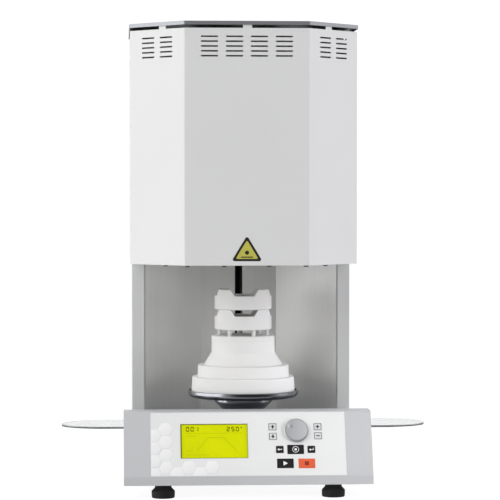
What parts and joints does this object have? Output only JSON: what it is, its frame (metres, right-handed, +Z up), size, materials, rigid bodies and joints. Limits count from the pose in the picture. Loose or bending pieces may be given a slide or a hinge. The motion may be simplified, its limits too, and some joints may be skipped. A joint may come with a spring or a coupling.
{
  "type": "bench-top sintering furnace",
  "caption": "Bench-top bottom-loading furnace: an eight-sided hood holds the chamber, and a lift raises a stepped ceramic plug with notched trays into it; wedge console in front.",
  "frame": {"origin": "on the bench, under the middle of the outline", "axes": "+Z up along the lift, +X to the right seen from the console, +Y to the back"},
  "size_m": [0.563, 0.4066, 0.7125],
  "materials": {
    "hood_paint": "satin powder coat",
    "column_paint": "satin powder coat",
    "rear_paint": "satin powder coat",
    "lid_steel": "polished",
    "sheet_steel": "zinc plated",
    "liner_steel": "satin",
    "foot_rubber": "matt",
    "console_paint": "satin",
    "overlay_film": "fine texture",
    "window_clear": "clear",
    "display_green": "backlit",
    "board_green": "satin",
    "dial_silver": "satin",
    "key_grey": "matt",
    "key_black": "matt",
    "key_orange": "matt",
    "insulation_white": "fibrous matt",
    "element_dark": "matt",
    "terminal_alu": "satin",
    "plug_ceramic": "fine matt",
    "tray_ceramic": "fine satin",
    "dish_steel": "polished",
    "hub_dark": "satin",
    "lift_alu": "machined",
    "bush_bronze": "turned",
    "rod_steel": "ground",
    "screw_black": "black oxide",
    "belt_rubber": "matt",
    "motor_black": "satin",
    "inlet_black": "matt",
    "rocker_black": "gloss",
    "shelf_glass": "satin",
    "transformer_iron": "varnished"
  },
  "bodies": {
    "cabinet": {"hood_shell": "hood_paint", "lid_plate": "lid_steel", "hood_floor": "sheet_steel", "side_panel_left": "column_paint", "side_panel_right": "column_paint", "rear_panel": "rear_paint", "recess_liner": "liner_steel", "deck_plate": "liner_steel", "base_pan": "sheet_steel", "rubber_feet": "foot_rubber", "console_shell": "console_paint", "control_overlay": "overlay_film", "display_window": "window_clear", "display_module": "display_green", "control_board": "board_green", "insulation_throat": "insulation_white", "insulation_wall": "insulation_white", "insulation_roof": "insulation_white", "heating_elements": "element_dark", "element_terminals": "terminal_alu", "thermocouple": "plug_ceramic", "guide_rods": "rod_steel", "rod_blocks": "lift_alu", "drive_belt": "belt_rubber", "lift_motor": "motor_black", "limit_switches": "inlet_black", "shelf_left": "shelf_glass", "shelf_right": "shelf_glass", "transformer": "transformer_iron", "fan_frame": "inlet_black", "power_inlet": "inlet_black", "panel_screws": "screw_black"},
    "lift": {"lift_dish": "dish_steel", "lift_hub": "hub_dark", "lift_arm": "sheet_steel", "lift_carriage": "lift_alu", "guide_bushes": "bush_bronze", "lead_nut": "bush_bronze", "plug_base_ring": "plug_ceramic", "plug_step_ring": "plug_ceramic", "plug_cone": "plug_ceramic", "plug_top_disc": "plug_ceramic", "tray_posts": "tray_ceramic"},
    "tray_low": {"lower_tray": "tray_ceramic"},
    "tray_up": {"upper_tray": "tray_ceramic"},
    "spindle": {"lead_screw": "screw_black", "screw_pulley": "lift_alu"},
    "rotor": {"motor_pulley": "lift_alu"},
    "dial": {"dial_knob": "dial_silver"},
    "rocker": {"main_switch_rocker": "rocker_black"},
    "fan": {"fan_impeller": "inlet_black"},
    "body_key_up": {"key_up": "key_grey"},
    "body_key_down": {"key_down": "key_grey"},
    "body_key_plus": {"key_plus": "key_grey"},
    "body_key_minus": {"key_minus": "key_grey"},
    "body_key_back": {"key_back": "key_black"},
    "body_key_select": {"key_select": "key_black"},
    "body_key_enter": {"key_enter": "key_black"},
    "body_key_start": {"key_start": "key_black"},
    "body_key_stop": {"key_stop": "key_orange"}
  },
  "joints": [
    {"name": "lift_slide", "type": "slide", "parent": "cabinet", "child": "lift", "axis": [0, 0, 1], "range_m": [0, 0.195]},
    {"name": "lower_tray_lift", "type": "slide", "parent": "lift", "child": "tray_low", "axis": [0, 0, 1], "range_m": [0, 0.02]},
    {"name": "upper_tray_lift", "type": "slide", "parent": "tray_low", "child": "tray_up", "axis": [0, 0, 1], "range_m": [0, 0.02]},
    {"name": "spindle_turn", "type": "hinge", "parent": "cabinet", "child": "spindle", "pos_m": [0, 0.15, 0.04], "axis": [0, 0, 1], "range_deg": [-14041, 0]},
    {"name": "motor_turn", "type": "hinge", "parent": "cabinet", "child": "rotor", "pos_m": [0.085, 0.15, 0.04], "axis": [0, 0, 1], "range_deg": [-28082, 0]},
    {"name": "dial_turn", "type": "hinge", "parent": "cabinet", "child": "dial", "pos_m": [0.0727, -0.17221, 0.09695], "axis": [0, -0.8996, 0.4367], "continuous": true},
    {"name": "rocker_tilt", "type": "hinge", "parent": "cabinet", "child": "rocker", "pos_m": [-0.11, 0.1975, 0.078], "axis": [1, 0, 0], "range_deg": [-16, 0]},
    {"name": "fan_spin", "type": "hinge", "parent": "cabinet", "child": "fan", "pos_m": [0, 0.185, 0.6], "axis": [0, 1, 0], "continuous": true},
    {"name": "key_up_press", "type": "slide", "parent": "cabinet", "child": "body_key_up", "axis": [0, 0.8996, -0.4367], "range_m": [0, 0.0004]},
    {"name": "key_down_press", "type": "slide", "parent": "cabinet", "child": "body_key_down", "axis": [0, 0.8996, -0.4367], "range_m": [0, 0.0004]},
    {"name": "key_plus_press", "type": "slide", "parent": "cabinet", "child": "body_key_plus", "axis": [0, 0.8996, -0.4367], "range_m": [0, 0.0004]},
    {"name": "key_minus_press", "type": "slide", "parent": "cabinet", "child": "body_key_minus", "axis": [0, 0.8996, -0.4367], "range_m": [0, 0.0004]},
    {"name": "key_back_press", "type": "slide", "parent": "cabinet", "child": "body_key_back", "axis": [0, 0.8996, -0.4367], "range_m": [0, 0.0004]},
    {"name": "key_select_press", "type": "slide", "parent": "cabinet", "child": "body_key_select", "axis": [0, 0.8996, -0.4367], "range_m": [0, 0.0004]},
    {"name": "key_enter_press", "type": "slide", "parent": "cabinet", "child": "body_key_enter", "axis": [0, 0.8996, -0.4367], "range_m": [0, 0.0004]},
    {"name": "key_start_press", "type": "slide", "parent": "cabinet", "child": "body_key_start", "axis": [0, 0.8996, -0.4367], "range_m": [0, 0.0004]},
    {"name": "key_stop_press", "type": "slide", "parent": "cabinet", "child": "body_key_stop", "axis": [0, 0.8996, -0.4367], "range_m": [0, 0.0004]}
  ],
  "couplings": [
    {"joint": "spindle_turn", "follows": "lift_slide", "rad_per_m": -1256.6},
    {"joint": "motor_turn", "follows": "lift_slide", "rad_per_m": -2513.3}
  ]
}
